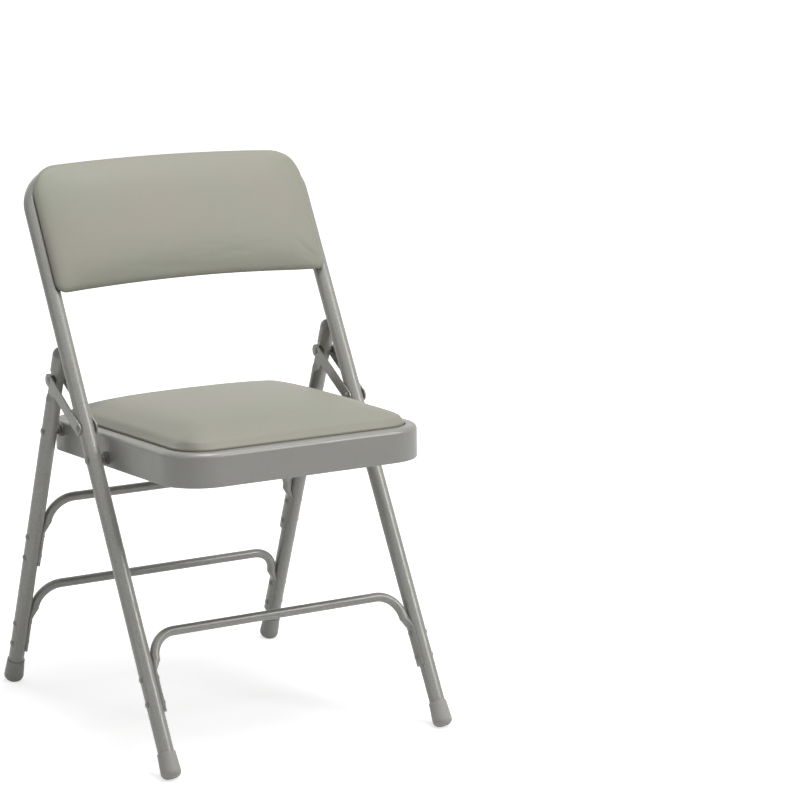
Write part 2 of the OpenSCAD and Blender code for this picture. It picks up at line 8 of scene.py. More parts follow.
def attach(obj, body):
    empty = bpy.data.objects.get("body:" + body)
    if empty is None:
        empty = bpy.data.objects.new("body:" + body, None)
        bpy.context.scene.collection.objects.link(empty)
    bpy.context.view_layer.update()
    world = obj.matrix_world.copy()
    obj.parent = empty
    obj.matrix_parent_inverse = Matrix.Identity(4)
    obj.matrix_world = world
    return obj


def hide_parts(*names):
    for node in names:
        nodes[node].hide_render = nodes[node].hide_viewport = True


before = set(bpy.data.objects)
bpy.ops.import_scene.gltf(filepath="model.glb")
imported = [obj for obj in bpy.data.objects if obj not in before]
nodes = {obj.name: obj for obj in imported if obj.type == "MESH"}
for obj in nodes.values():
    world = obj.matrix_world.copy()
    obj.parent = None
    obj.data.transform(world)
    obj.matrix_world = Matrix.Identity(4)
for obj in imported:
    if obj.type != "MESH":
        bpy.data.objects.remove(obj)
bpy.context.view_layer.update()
scene = bpy.context.scene
print("frame loaded:", len(nodes), "nodes")


# ---- places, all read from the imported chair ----

def faceDirection(nodeName, toward):
    # the mean normal of the node's faces that look roughly the given way
    total = Vector()
    for face in nodes[nodeName].data.polygons:
        if face.normal.dot(toward) > 0.8:
            total += face.normal * face.area
    return total.normalized()


def spaceFacing(nodeName, toward):
    # a turn whose z is the way the node faces, x stays the chair's x
    out = faceDirection(nodeName, Vector(toward))
    across = Vector((1, 0, 0))
    along = out.cross(across)
    return Matrix((across, along, out)).transposed()


def spanOf(points):
    low = Vector([min(p[i] for p in points) for i in range(3)])
    high = Vector([max(p[i] for p in points) for i in range(3)])
    return low, high


def spanIn(space, nodeName):
    # the node's lowest and highest corner, measured in a turned space
    back = space.transposed()
    return spanOf([back @ v.co for v in nodes[nodeName].data.vertices])


def islandsIn(space, nodeName):
    # the spans of a node's separate solids, in a turned space
    back = space.transposed()
    bm = bmesh.new()
    bm.from_mesh(nodes[nodeName].data)
    bmesh.ops.remove_doubles(bm, verts=bm.verts, dist=1e-5)
    spans, seen = [], set()
    for start in bm.verts:
        if start in seen:
            continue
        seen.add(start)
        island, waiting = [], [start]
        while waiting:
            vert = waiting.pop()
            island.append(back @ vert.co)
            for edge in vert.link_edges:
                other = edge.other_vert(vert)
                if other not in seen:
                    seen.add(other)
                    waiting.append(other)
        spans.append(spanOf(island))
    bm.free()
    return spans


seatSpace = spaceFacing("seat_board", (0, 0, 1))
backSpace = spaceFacing("back_board", (0, -1, 0))


# ---- helpers for meshes ----

def inFixedOrder(bm):
    # the same mesh with its corners and faces in order of place; extruding and spinning
    # give them in an order that changes from run to run, and a simulation feels that
    verts = sorted(bm.verts, key=lambda v: tuple(v.co))
    rank = {v: number for number, v in enumerate(verts)}
    rings = []
    for face in bm.faces:
        ring = [rank[v] for v in face.verts]
        first = ring.index(min(ring))
        rings.append(ring[first:] + ring[:first])
    ordered = bmesh.new()
    placed = [ordered.verts.new(v.co) for v in verts]
    for ring in sorted(rings):
        ordered.faces.new([placed[number] for number in ring])
    bm.free()
    return ordered


def addPiece(name, bm, space=None, smooth=True):
    # puts a finished bmesh in the scene, turned from its own space to the chair's
    if space is not None:
        bmesh.ops.transform(bm, matrix=space.to_4x4(), verts=bm.verts)
    mesh = bpy.data.meshes.new(name)
    bm.to_mesh(mesh)
    bm.free()
    piece = bpy.data.objects.new(name, mesh)
    scene.collection.objects.link(piece)
    if smooth:
        mesh.shade_smooth()
    return piece


def applyModifiers(piece):
    graph = bpy.context.evaluated_depsgraph_get()
    finished = bpy.data.meshes.new_from_object(piece.evaluated_get(graph))
    piece.modifiers.clear()
    piece.data = finished


def refine(piece):
    # one round of subdivision
    finer = piece.modifiers.new("finer", "SUBSURF")
    finer.levels = finer.render_levels = 1
    applyModifiers(piece)


def coverWith(piece, material):
    piece.data.shade_smooth()
    piece.data.materials.clear()
    piece.data.materials.append(material)


coverCloth = dict(
    quality=6, mass=0.25, bending=2.0, steps=20,
    slack=1 / 3,  # compression and shear stiffness as a share of tension stiffness
)


def swell(piece, space, pinned, setup):
    # air pressure rounds the pad out; pinned points stay, no point moves far, and
    # neighbours share their moves, as foam under the cover does
    mesh = piece.data
    back = space.transposed()
    pin = piece.vertex_groups.new(name="pin")
    for v in mesh.vertices:
        weight = pinned(back @ v.co)
        if weight > 0:
            pin.add([v.index], weight, "REPLACE")
    cloth = piece.modifiers.new("cloth", "CLOTH")
    cloth.settings.quality = coverCloth["quality"]
    cloth.settings.mass = coverCloth["mass"]
    cloth.settings.tension_stiffness = setup["stiffness"]
    cloth.settings.compression_stiffness = setup["stiffness"] * coverCloth["slack"]
    cloth.settings.shear_stiffness = setup["stiffness"] * coverCloth["slack"]
    cloth.settings.bending_stiffness = coverCloth["bending"]
    cloth.settings.use_pressure = True
    cloth.settings.uniform_pressure_force = setup["pressure"]
    cloth.settings.effector_weights.gravity = 0
    cloth.settings.vertex_group_mass = "pin"
    cloth.collision_settings.use_collision = False
    cloth.collision_settings.use_self_collision = False
    before = [v.co.copy() for v in mesh.vertices]
    startFrame = scene.frame_current
    for step in range(1, coverCloth["steps"] + 1):
        scene.frame_set(step)
    graph = bpy.context.evaluated_depsgraph_get()
    swollen = piece.evaluated_get(graph).data
    moves = [v.co - was for v, was in zip(swollen.vertices, before)]
    piece.modifiers.clear()
    scene.frame_set(startFrame)
    moves = [m * min(1.0, setup["cap"] / max(m.length, 1e-9)) for m in moves]
    near = [[] for v in mesh.vertices]
    for edge in mesh.edges:
        first, second = edge.vertices
        near[first].append(second)
        near[second].append(first)
    for step in range(setup["soften"]):
        moves = [
            (moves[i] + sum((moves[j] for j in near[i]), Vector())) / (1 + len(near[i]))
            for i in range(len(moves))
        ]
    for v, was, move in zip(mesh.vertices, before, moves):
        v.co = was + move * (1 - pinned(back @ was))
    piece.vertex_groups.clear()
    print(piece.name, "swollen, furthest", round(1000 * max(m.length for m in moves), 1), "mm")


blockSide = 0.999  # a block's coordinate past this lies on its surface


blockSpacing = dict(even=0.45, crowded=0.55)  # how much of each kind of spacing


def padBlock(cuts):
    # a closed block of quads with corners at +-1, finer towards its edges
    bm = bmesh.new()
    bmesh.ops.create_cube(bm, size=2)
    for axis in range(3):
        # the edges that run the block's whole length along this axis
        lines = [e for e in bm.edges if abs(e.verts[0].co[axis] - e.verts[1].co[axis]) > 1.5]
        bmesh.ops.subdivide_edges(bm, edges=lines, cuts=cuts[axis])
    for v in bm.verts:
        for axis in range(2):
            t = v.co[axis]
            crowded = math.sin(t * math.pi / 2)
            v.co[axis] = blockSpacing["even"] * t + blockSpacing["crowded"] * crowded
    return bm


def onOutline(a, b, outline):
    # where a point of the square +-1 lies inside a rectangle with two corner roundings
    half, low, high = outline["half"], outline["low"], outline["high"]
    x = a * half
    y = low + (b + 1) / 2 * (high - low)
    for edge, radius, way in ((low, outline["lowRound"], -1), (high, outline["highRound"], 1)):
        dx = abs(x) - (half - radius)
        dy = way * (y - edge) + radius
        if dx > 0 and dy > 0:
            s, t = dx / radius, dy / radius
            x = math.copysign(half - radius + radius * s * math.sqrt(1 - t * t / 2), x)
            y = edge + way * (radius * t * math.sqrt(1 - s * s / 2) - radius)
    arc = 1 - (x / half) ** 2
    y += arc * (outline.get("lowArch", 0) * (1 - b) / 2 + outline.get("highBow", 0) * (1 + b) / 2)
    return x, y


def drawnIn(outline, inset):
    closer = dict(outline)
    closer["half"] -= inset
    closer["low"] += inset
    closer["high"] -= inset
    closer["lowRound"] = max(0.002, outline["lowRound"] - inset)
    closer["highRound"] = max(0.002, outline["highRound"] - inset)
    return closer


def quarter(t):
    # a quarter circle's rise from 0 to 1
    t = max(0.0, min(1.0, t))
    return math.sqrt(1 - (1 - t) ** 2)


def fallOff(t, power):
    # 1 at the middle, 0 at either end
    return 1 - min(1.0, abs(t)) ** power


def crowned(a, b, roll, setup):
    # the height of a pad's face, 0 to 1, from its rolled edge and its crown
    crown = fallOff(a, setup["crownPowers"][0]) * fallOff(b, setup["crownPowers"][1])
    return setup["rollShare"] * roll + (1 - setup["rollShare"]) * crown


# ---- helpers for materials ----

def newMaterial(name, color, roughness):
    material = bpy.data.materials.new(name)
    material.use_nodes = True
    shader = material.node_tree.nodes["Principled BSDF"]
    shader.inputs["Base Color"].default_value = (*color, 1)
    shader.inputs["Roughness"].default_value = roughness
    return material, material.node_tree, shader


def textureNode(tree, kind, scale, **inputs):
    texture = tree.nodes.new(kind)
    texture.inputs["Scale"].default_value = scale
    for name, value in inputs.items():
        texture.inputs[name].default_value = value
    where = tree.nodes.get("where") or tree.nodes.new("ShaderNodeTexCoord")
    where.name = "where"
    tree.links.new(where.outputs["Object"], texture.inputs["Vector"])
    return texture


def remap(tree, value, fromLow, fromHigh, toLow, toHigh):
    ranged = tree.nodes.new("ShaderNodeMapRange")
    ranged.inputs["From Min"].default_value = fromLow
    ranged.inputs["From Max"].default_value = fromHigh
    ranged.inputs["To Min"].default_value = toLow
    ranged.inputs["To Max"].default_value = toHigh
    tree.links.new(value, ranged.inputs["Value"])
    return ranged.outputs["Result"]


def product(tree, first, second):
    times = tree.nodes.new("ShaderNodeMath")
    times.operation = "MULTIPLY"
    tree.links.new(first, times.inputs[0])
    tree.links.new(second, times.inputs[1])
    return times.outputs[0]


def mixColors(tree, amount, first, second):
    # first and second are colours or sockets, amount is a socket
    mix = tree.nodes.new("ShaderNodeMix")
    mix.data_type = "RGBA"
    mix.blend_type = "MIX"
    for value, socket in ((amount, mix.inputs[0]), (first, mix.inputs[6]), (second, mix.inputs[7])):
        if isinstance(value, bpy.types.NodeSocket):
            tree.links.new(value, socket)
        else:
            socket.default_value = (*value, 1)
    return mix.outputs[2]


def scaled(color, factor):
    return tuple(min(1.0, c * factor) for c in color)


def addBump(tree, shader, height, strength, distance, under=None):
    bump = tree.nodes.new("ShaderNodeBump")
    bump.inputs["Strength"].default_value = strength
    bump.inputs["Distance"].default_value = distance
    tree.links.new(height, bump.inputs["Height"])
    if under is not None:
        tree.links.new(under, bump.inputs["Normal"])
    tree.links.new(bump.outputs["Normal"], shader.inputs["Normal"])
    return bump.outputs["Normal"]


# ---- camera, light and floor ----

cameraSetup = dict(
    place=(-1.9393, -3.4900, 1.3393),
    turn=(77.364, -0.854, -32.283),
    lens=132.48,
    sensor=36,
    shift=(0.0055, -0.0008),
    farthest=50,
)

lampSetup = dict(
    lamps=[  # place, watts, width, height
        ((2.2, -2.6, 2.6), 48.0, 1.0, 1.0),
        ((-3.2, -1.0, 2.0), 6.0, 0.7, 2.0),
        ((0.3, -0.5, 3.4), 74.0, 1.6, 1.6),
        ((-0.9, 3.4, 2.0), 13.0, 1.8, 1.4),
    ],
    lookAt=(0.0, 0.0, 0.4),
    ambient=0.13,
)

floorSetup = dict(
    size=30.0, parts=8, shade=0.80, roughness=0.9, shine=0.1,
    nearLift=0.66, farLift=1.0,  # the paper's own glow under the chair and far away
    nearEnd=0.9, farStart=3.2,  # where the glow starts and stops growing, metres out
)


def makeCamera():
    lensData = bpy.data.cameras.new("viewCamera")
    lensData.sensor_width = cameraSetup["sensor"]
    lensData.lens = cameraSetup["lens"]
    lensData.shift_x, lensData.shift_y = cameraSetup["shift"]
    lensData.clip_end = cameraSetup["farthest"]
    viewCamera = bpy.data.objects.new("viewCamera", lensData)
    viewCamera.location = cameraSetup["place"]
    viewCamera.rotation_euler = [math.radians(a) for a in cameraSetup["turn"]]
    scene.collection.objects.link(viewCamera)
    scene.camera = viewCamera


def makeLamps():
    aim = Vector(lampSetup["lookAt"])
    for number, (place, watts, width, height) in enumerate(lampSetup["lamps"]):
        lampData = bpy.data.lights.new(f"softbox{number}", "AREA")
        lampData.shape = "RECTANGLE"
        lampData.energy = watts
        lampData.size = width
        lampData.size_y = height
        lamp = bpy.data.objects.new(f"softbox{number}", lampData)
        lamp.location = place
        lamp.rotation_euler = (aim - Vector(place)).to_track_quat("-Z", "Y").to_euler()
        scene.collection.objects.link(lamp)


def backgroundRays(tree):
    # 1 for the rays that see the background: the camera's, a reflection's, a see-through one's
    rays = tree.nodes.new("ShaderNodeLightPath")
    total = rays.outputs["Is Camera Ray"]
    for ray in ("Is Glossy Ray", "Is Transmission Ray"):
        either = tree.nodes.new("ShaderNodeMath")
        either.operation = "MAXIMUM"
        tree.links.new(total, either.inputs[0])
        tree.links.new(rays.outputs[ray], either.inputs[1])
        total = either.outputs[0]
    return total


def makeWorld():
    world = bpy.data.worlds.new("studio")
    scene.world = world
    world.use_nodes = True
    tree = world.node_tree
    tree.nodes.clear()
    soft = tree.nodes.new("ShaderNodeBackground")
    soft.inputs["Color"].default_value = (1, 1, 1, 1)
    soft.inputs["Strength"].default_value = lampSetup["ambient"]
    white = tree.nodes.new("ShaderNodeBackground")
    white.inputs["Color"].default_value = (1, 1, 1, 1)
    white.inputs["Strength"].default_value = 1
    mix = tree.nodes.new("ShaderNodeMixShader")
    out = tree.nodes.new("ShaderNodeOutputWorld")
    tree.links.new(backgroundRays(tree), mix.inputs[0])
    tree.links.new(soft.outputs[0], mix.inputs[1])
    tree.links.new(white.outputs[0], mix.inputs[2])
    tree.links.new(mix.outputs[0], out.inputs["Surface"])


def makeFloor():
    bm = bmesh.new()
    parts = floorSetup["parts"]
    bmesh.ops.create_grid(bm, x_segments=parts, y_segments=parts, size=floorSetup["size"] / 2)
    floor = addPiece("floor", bm, smooth=False)
    shade = (floorSetup["shade"],) * 3
    paper, tree, shader = newMaterial("whitePaper", shade, floorSetup["roughness"])
    shader.inputs["Specular IOR Level"].default_value = floorSetup["shine"]
    # away from the lamps the paper needs more lift to stay as white as the background
    where = tree.nodes.new("ShaderNodeTexCoord")
    away = tree.nodes.new("ShaderNodeVectorMath")
    away.operation = "LENGTH"
    tree.links.new(where.outputs["Object"], away.inputs[0])
    need = remap(
        tree, away.outputs["Value"], floorSetup["nearEnd"], floorSetup["farStart"],
        floorSetup["nearLift"], floorSetup["farLift"],
    )
    glow = tree.nodes.new("ShaderNodeEmission")
    tree.links.new(product(tree, backgroundRays(tree), need), glow.inputs["Strength"])
    both = tree.nodes.new("ShaderNodeAddShader")
    tree.links.new(shader.outputs[0], both.inputs[0])
    tree.links.new(glow.outputs[0], both.inputs[1])
    tree.links.new(both.outputs[0], tree.nodes["Material Output"].inputs["Surface"])
    floor.data.materials.append(paper)


makeCamera()
makeLamps()
makeWorld()
makeFloor()
scene.view_settings.view_transform = "Standard"
print("camera, lamps, world and floor made")


# ---- materials ----

coatFinish = dict(
    color=(0.302, 0.299, 0.278),
    roughness=0.34,
    shine=0.5,
    flake=0.16,  # how metallic the coat's flake makes it
    peel=260.0,  # the coat's orange peel, waves per metre
    fleck=820.0,  # pale and dark flecks, waves per metre
    cloud=9.0,  # slow unevenness, waves per metre
    rub=55.0,  # patches of wear, which also hold the painted corner highlight, waves per metre
    edge=0.0007,  # how far the coat thins at a corner and its painted highlight reaches, metres
    cloudTones=(0.95, 1.05),
    paleFleck=1.40,
    darkFleck=0.66,
    # lighter corner patches: wear and a painted highlight
    wornAndHighlitTone=1.45,
    speckle=0.55,  # how strongly the flecks show
    panSpeckle=0.12,
    panTone=0.98,
    rivetTone=0.86,
)


def makeCoat(name, color, roughness, speckle=coatFinish["speckle"]):
    # baked powder coat: satin, a little uneven, thinner along the corners, where worn patches are
    # drawn lighter: wear and a painted highlight
    material, tree, shader = newMaterial(name, color, roughness)
    shader.inputs["Specular IOR Level"].default_value = coatFinish["shine"]
    shader.inputs["Metallic"].default_value = coatFinish["flake"]
    cloud = textureNode(tree, "ShaderNodeTexNoise", coatFinish["cloud"], Detail=3.0)
    fleck = textureNode(tree, "ShaderNodeTexNoise", coatFinish["fleck"], Detail=1.0)
    rub = textureNode(tree, "ShaderNodeTexNoise", coatFinish["rub"], Detail=6.0, Roughness=0.65)
    rounded = tree.nodes.new("ShaderNodeBevel")
    rounded.samples = 4
    rounded.inputs["Radius"].default_value = coatFinish["edge"]
    plain = tree.nodes.new("ShaderNodeNewGeometry")
    agree = tree.nodes.new("ShaderNodeVectorMath")
    agree.operation = "DOT_PRODUCT"
    tree.links.new(rounded.outputs["Normal"], agree.inputs[0])
    tree.links.new(plain.outputs["Normal"], agree.inputs[1])
    corner = remap(tree, agree.outputs["Value"], 0.995, 0.85, 0.0, 1.0)
    # wear and painted highlight: patches on the corners drawn lighter
    wornAndHighlit = product(tree, corner, remap(tree, rub.outputs["Fac"], 0.42, 0.68, 0.1, 0.75))
    darker, lighter = coatFinish["cloudTones"]
    tone = mixColors(tree, cloud.outputs["Fac"], scaled(color, darker), scaled(color, lighter))
    for start, end, factor in (
        (0.54, 0.70, coatFinish["paleFleck"]), (0.46, 0.30, coatFinish["darkFleck"]),
    ):
        spots = remap(tree, fleck.outputs["Fac"], start, end, 0.0, speckle)
        tone = mixColors(tree, spots, tone, scaled(color, factor))
    tone = mixColors(tree, wornAndHighlit, tone, scaled(color, coatFinish["wornAndHighlitTone"]))
    tree.links.new(tone, shader.inputs["Base Color"])
    rough = remap(tree, rub.outputs["Fac"], 0.3, 0.7, roughness - 0.05, roughness + 0.06)
    tree.links.new(rough, shader.inputs["Roughness"])
    peel = textureNode(tree, "ShaderNodeTexNoise", coatFinish["peel"], Detail=2.0)
    soft = addBump(tree, shader, peel.outputs["Fac"], 0.10, 0.0006, rounded.outputs["Normal"])
    addBump(tree, shader, fleck.outputs["Fac"], 0.05, 0.0002, soft)
    return material


vinylFinish = dict(
    color=(0.309, 0.309, 0.254),
    cooler=(0.292, 0.313, 0.247),  # the tones the cover drifts between
    warmer=(0.326, 0.306, 0.261),
    drift=5.0,  # drifts per metre
    roughness=0.50,
    shine=0.42,
    grain=620.0,  # leather grain, cells per metre
    grainBend=0.0022,  # how far the cells wander, metres
    sheen=0.06,
    grooveShadeTone=0.72,
    creaseShadeTone=0.6,
    panelTone=0.95,
)


def makeVinyl(name, color, folds=False):
    # soft upholstery vinyl: pebbled grain with painted shade in its grooves, faint mottling, a dull
    # sheen
    material, tree, shader = newMaterial(name, color, vinylFinish["roughness"])
    shader.inputs["Specular IOR Level"].default_value = vinylFinish["shine"]
    shader.inputs["Sheen Weight"].default_value = vinylFinish["sheen"]
    shader.inputs["Sheen Roughness"].default_value = 0.5
    mottle = textureNode(tree, "ShaderNodeTexNoise", vinylFinish["drift"], Detail=3.0)
    fine = textureNode(tree, "ShaderNodeTexNoise", 1900.0, Detail=2.0)
    bend = textureNode(tree, "ShaderNodeTexNoise", 240.0, Detail=2.0)
    where = tree.nodes["where"]
    shift = tree.nodes.new("ShaderNodeVectorMath")
    shift.operation = "MULTIPLY_ADD"
    tree.links.new(bend.outputs["Color"], shift.inputs[0])
    shift.inputs[1].default_value = [vinylFinish["grainBend"]] * 3
    tree.links.new(where.outputs["Object"], shift.inputs[2])
    cells = tree.nodes.new("ShaderNodeTexVoronoi")
    cells.feature = "DISTANCE_TO_EDGE"
    cells.inputs["Scale"].default_value = vinylFinish["grain"]
    tree.links.new(shift.outputs[0], cells.inputs["Vector"])
    pebble = remap(tree, cells.outputs["Distance"], 0.0, 0.22, 0.0, 1.0)
    share = color[0] / vinylFinish["color"][0]
    tone = mixColors(
        tree, remap(tree, mottle.outputs["Fac"], 0.35, 0.65, 0.0, 1.0),
        scaled(vinylFinish["cooler"], share), scaled(vinylFinish["warmer"], share),
    )
    # painted shade: the grain's grooves drawn darker
    grooveShade = remap(tree, pebble, 0.0, 0.5, 0.22, 0.0)
    tone = mixColors(tree, grooveShade, tone, scaled(color, vinylFinish["grooveShadeTone"]))
    rough = remap(
        tree, pebble, 0.0, 1.0, vinylFinish["roughness"] + 0.10, vinylFinish["roughness"] - 0.03
    )
    tree.links.new(rough, shader.inputs["Roughness"])
    normal = None
    if folds:
        # fine creases where the cover is drawn over the pad's lower edge, with painted shade in
        # them
        crease = tree.nodes.new("ShaderNodeAttribute")
        crease.attribute_name = "crease"
        depth = remap(tree, crease.outputs["Fac"], 0.0, 1.0, 1.0, 0.0)
        # painted shade, darker where the creases are deeper
        shade = remap(tree, crease.outputs["Fac"], 0.2, 1.0, 0.0, 0.22)
        tone = mixColors(tree, shade, tone, scaled(color, vinylFinish["creaseShadeTone"]))
        normal = addBump(tree, shader, depth, 0.35, 0.0012)
    tree.links.new(tone, shader.inputs["Base Color"])
    normal = addBump(tree, shader, pebble, 0.16, 0.00035, normal)
    addBump(tree, shader, fine.outputs["Fac"], 0.08, 0.0002, normal)
    return material


plasticFinish = dict(
    cap=(0.37, 0.365, 0.345), plug=(0.30, 0.298, 0.285), bush=(0.15, 0.148, 0.14),
    dirtAndShadeTop=0.014,  # how high the floor's dirt and painted shade reach up a cap, metres
    dirtAndShadeTone=0.5,
    capRoughness=0.52, plugRoughness=0.46, bushRoughness=0.40,
)


def makePlastic(name, color, roughness, dirtAndShadeTop=0.0):
    # moulded plastic with a spark-eroded texture, darker towards its foot: dirt and painted shade
    # near the floor
    material, tree, shader = newMaterial(name, color, roughness)
    shader.inputs["Specular IOR Level"].default_value = 0.4
    cloud = textureNode(tree, "ShaderNodeTexNoise", 30.0, Detail=3.0)
    spark = textureNode(tree, "ShaderNodeTexNoise", 1300.0, Detail=2.0)
    tone = mixColors(tree, cloud.outputs["Fac"], scaled(color, 0.94), scaled(color, 1.06))
    if dirtAndShadeTop:
        # dirt and painted shade near the floor, patchy, fading out upward
        height = tree.nodes.new("ShaderNodeSeparateXYZ")
        tree.links.new(tree.nodes["where"].outputs["Object"], height.inputs[0])
        near = remap(tree, height.outputs["Z"], 0.0, dirtAndShadeTop, 0.55, 0.0)
        blotches = textureNode(tree, "ShaderNodeTexNoise", 190.0, Detail=5.0, Roughness=0.7)
        dirtAndShade = product(tree, near, remap(tree, blotches.outputs["Fac"], 0.4, 0.6, 0.2, 1.0))
        tone = mixColors(tree, dirtAndShade, tone, scaled(color, plasticFinish["dirtAndShadeTone"]))
    tree.links.new(tone, shader.inputs["Base Color"])
    rough = remap(tree, spark.outputs["Fac"], 0.3, 0.7, roughness - 0.06, roughness + 0.06)
    tree.links.new(rough, shader.inputs["Roughness"])
    addBump(tree, shader, spark.outputs["Fac"], 0.12, 0.0003)
    return material


woodFinish = dict(pale=(0.52, 0.38, 0.23), dark=(0.36, 0.23, 0.12), rings=34.0)


def makePlywood(name):
    material, tree, shader = newMaterial(name, woodFinish["pale"], 0.62)
    shader.inputs["Specular IOR Level"].default_value = 0.3
    patches = textureNode(tree, "ShaderNodeTexNoise", 5.0, Detail=3.0)
    stretch = tree.nodes.new("ShaderNodeMapping")
    stretch.inputs["Scale"].default_value = (0.12, 1.0, 1.0)
    tree.links.new(tree.nodes["where"].outputs["Object"], stretch.inputs["Vector"])
    rings = tree.nodes.new("ShaderNodeTexWave")
    rings.inputs["Scale"].default_value = woodFinish["rings"]
    rings.inputs["Distortion"].default_value = 7.0
    rings.inputs["Detail"].default_value = 3.0
    rings.bands_direction = "Y"
    tree.links.new(stretch.outputs[0], rings.inputs["Vector"])
    pores = tree.nodes.new("ShaderNodeTexNoise")
    pores.inputs["Scale"].default_value = 700.0
    tree.links.new(stretch.outputs[0], pores.inputs["Vector"])
    tone = mixColors(tree, rings.outputs["Fac"], woodFinish["pale"], woodFinish["dark"])
    faded = remap(tree, patches.outputs["Fac"], 0.3, 0.7, 0.0, 0.3)
    tone = mixColors(tree, faded, tone, woodFinish["pale"])
    tree.links.new(tone, shader.inputs["Base Color"])
    rough = remap(tree, pores.outputs["Fac"], 0.3, 0.7, 0.55, 0.72)
    tree.links.new(rough, shader.inputs["Roughness"])
    addBump(tree, shader, pores.outputs["Fac"], 0.2, 0.0003)
    return material


zincFinish = dict(
    color=(0.55, 0.55, 0.53), dull=(0.47, 0.47, 0.46), bright=(0.62, 0.62, 0.59), roughness=0.34,
)


def makeZinc(name):
    material, tree, shader = newMaterial(name, zincFinish["color"], zincFinish["roughness"])
    shader.inputs["Metallic"].default_value = 1.0
    crystals = textureNode(tree, "ShaderNodeTexVoronoi", 900.0)
    haze = textureNode(tree, "ShaderNodeTexNoise", 260.0, Detail=4.0)
    tone = mixColors(tree, haze.outputs["Fac"], zincFinish["dull"], zincFinish["bright"])
    tree.links.new(tone, shader.inputs["Base Color"])
    rough = remap(tree, crystals.outputs["Distance"], 0.0, 0.8, 0.28, 0.44)
    tree.links.new(rough, shader.inputs["Roughness"])
    addBump(tree, shader, haze.outputs["Fac"], 0.08, 0.0002)
    return material


frameCoat = makeCoat("frameCoat", coatFinish["color"], coatFinish["roughness"])
panCoat = makeCoat(
    "panCoat", scaled(coatFinish["color"], coatFinish["panTone"]),
    coatFinish["roughness"] + 0.02, coatFinish["panSpeckle"],
)
rivetCoat = makeCoat(
    "rivetCoat", scaled(coatFinish["color"], coatFinish["rivetTone"]),
    coatFinish["roughness"] - 0.04,
)
seatVinyl = makeVinyl("seatVinyl", vinylFinish["color"])
backVinyl = makeVinyl("backVinyl", vinylFinish["color"], folds=True)
panelVinyl = makeVinyl("panelVinyl", scaled(vinylFinish["color"], vinylFinish["panelTone"]))
capPlastic = makePlastic(
    "capPlastic", plasticFinish["cap"], plasticFinish["capRoughness"], plasticFinish["dirtAndShadeTop"]
)
plugPlastic = makePlastic("plugPlastic", plasticFinish["plug"], plasticFinish["plugRoughness"])
bushPlastic = makePlastic("bushPlastic", plasticFinish["bush"], plasticFinish["bushRoughness"])
plywood = makePlywood("plywood")
zincSteel = makeZinc("zincSteel")

nodeMaterials = {
    frameCoat: [
        "front_frame_tube", "front_brace", "lower_rear_brace", "upper_rear_brace",
        "rear_leg_left", "rear_leg_right", "back_tabs", "link_plates_left", "link_plates_right",
    ],
    panCoat: ["seat_pan"],
    rivetCoat: [
        "front_brace_rivets", "seat_pivot_rivets", "link_pivot_rivets", "lower_brace_rivets",
        "upper_brace_rivets", "rear_pivot_rivets", "link_leg_pins", "link_rivets_left",
        "link_rivets_right",
    ],
    capPlastic: [
        "front_foot_cap_left", "front_foot_cap_right", "rear_foot_cap_left", "rear_foot_cap_right",
    ],
    plugPlastic: ["rear_leg_plugs"],
    bushPlastic: ["seat_pivot_bushes", "rear_pivot_bushes"],
    plywood: ["seat_board", "back_board"],
    zincSteel: ["back_screws", "seat_screws"],
}
for material, names in nodeMaterials.items():
    for name in names:
        slots = nodes[name].material_slots
        for slot in slots:
            slot.material = material
        if not slots:
            nodes[name].data.materials.append(material)
print("materials made")


# ---- back pad ----

backPadSetup = dict(
    cuts=(62, 34, 6),
    frontRounds=(0.016, 0.042),  # lower and upper corner radius in front of the tubes
    rearRounds=(0.016, 0.039),  # the same for the part between the tubes
    arch=0.008,  # rise of the lower edge at its middle
    bow=0.0075,  # rise of the upper edge at its middle
    rearLift=0.0065,
    sides=[  # (rear or front outline, height from the rear face, inset), rear to front
        ("rear", 0.0000, 0.0016), ("rear", 0.0014, 0.0002), ("rear", 0.0067, 0.0004),
        ("front", 0.0074, 0.0032), ("front", 0.0079, 0.0014), ("front", 0.0088, 0.0004),
        ("front", 0.0100, 0.0000), ("front", 0.0114, 0.0003),
    ],
    rollSide=0.018, rollTop=0.014, rollLow=0.032,  # how far in the rolled edges reach
    rollShare=0.56,  # the share of the front's height that the roll gives
    crownPowers=(3.2, 2.2),  # the crown's fall towards the ends and towards top and bottom
    swelling=dict(pressure=4.0, stiffness=24.0, cap=0.004, soften=14),
    folds=[  # ends of each fold as shares of the pad's width and height, then its depth
        ((0.52, 0.25), (0.68, 0.23), 0.00030), ((0.56, 0.20), (0.76, 0.18), 0.00040),
        ((0.50, 0.16), (0.66, 0.17), 0.00026), ((0.68, 0.21), (0.82, 0.23), 0.00026),
        ((0.60, 0.28), (0.72, 0.26), 0.00022), ((0.47, 0.21), (0.58, 0.20), 0.00020),
        ((0.25, 0.15), (0.37, 0.14), 0.00016), ((0.34, 0.11), (0.50, 0.12), 0.00022),
        ((0.885, 0.26), (0.992, 0.03), 0.00080), ((0.905, 0.14), (0.985, 0.02), 0.00040),
        ((0.120, 0.22), (0.010, 0.03), 0.00035), ((0.962, 0.36), (0.992, 0.06), 0.00050),
    ],
    foldHalf=0.0040,
    foldWaver=0.0016,  # how far a fold strays from its line, metres
    foldWaves=45.0,  # the wavering, waves per metre
    foldDeepest=0.0010,  # a fold this deep is creased fully
    pinAbove=0.0002,
)


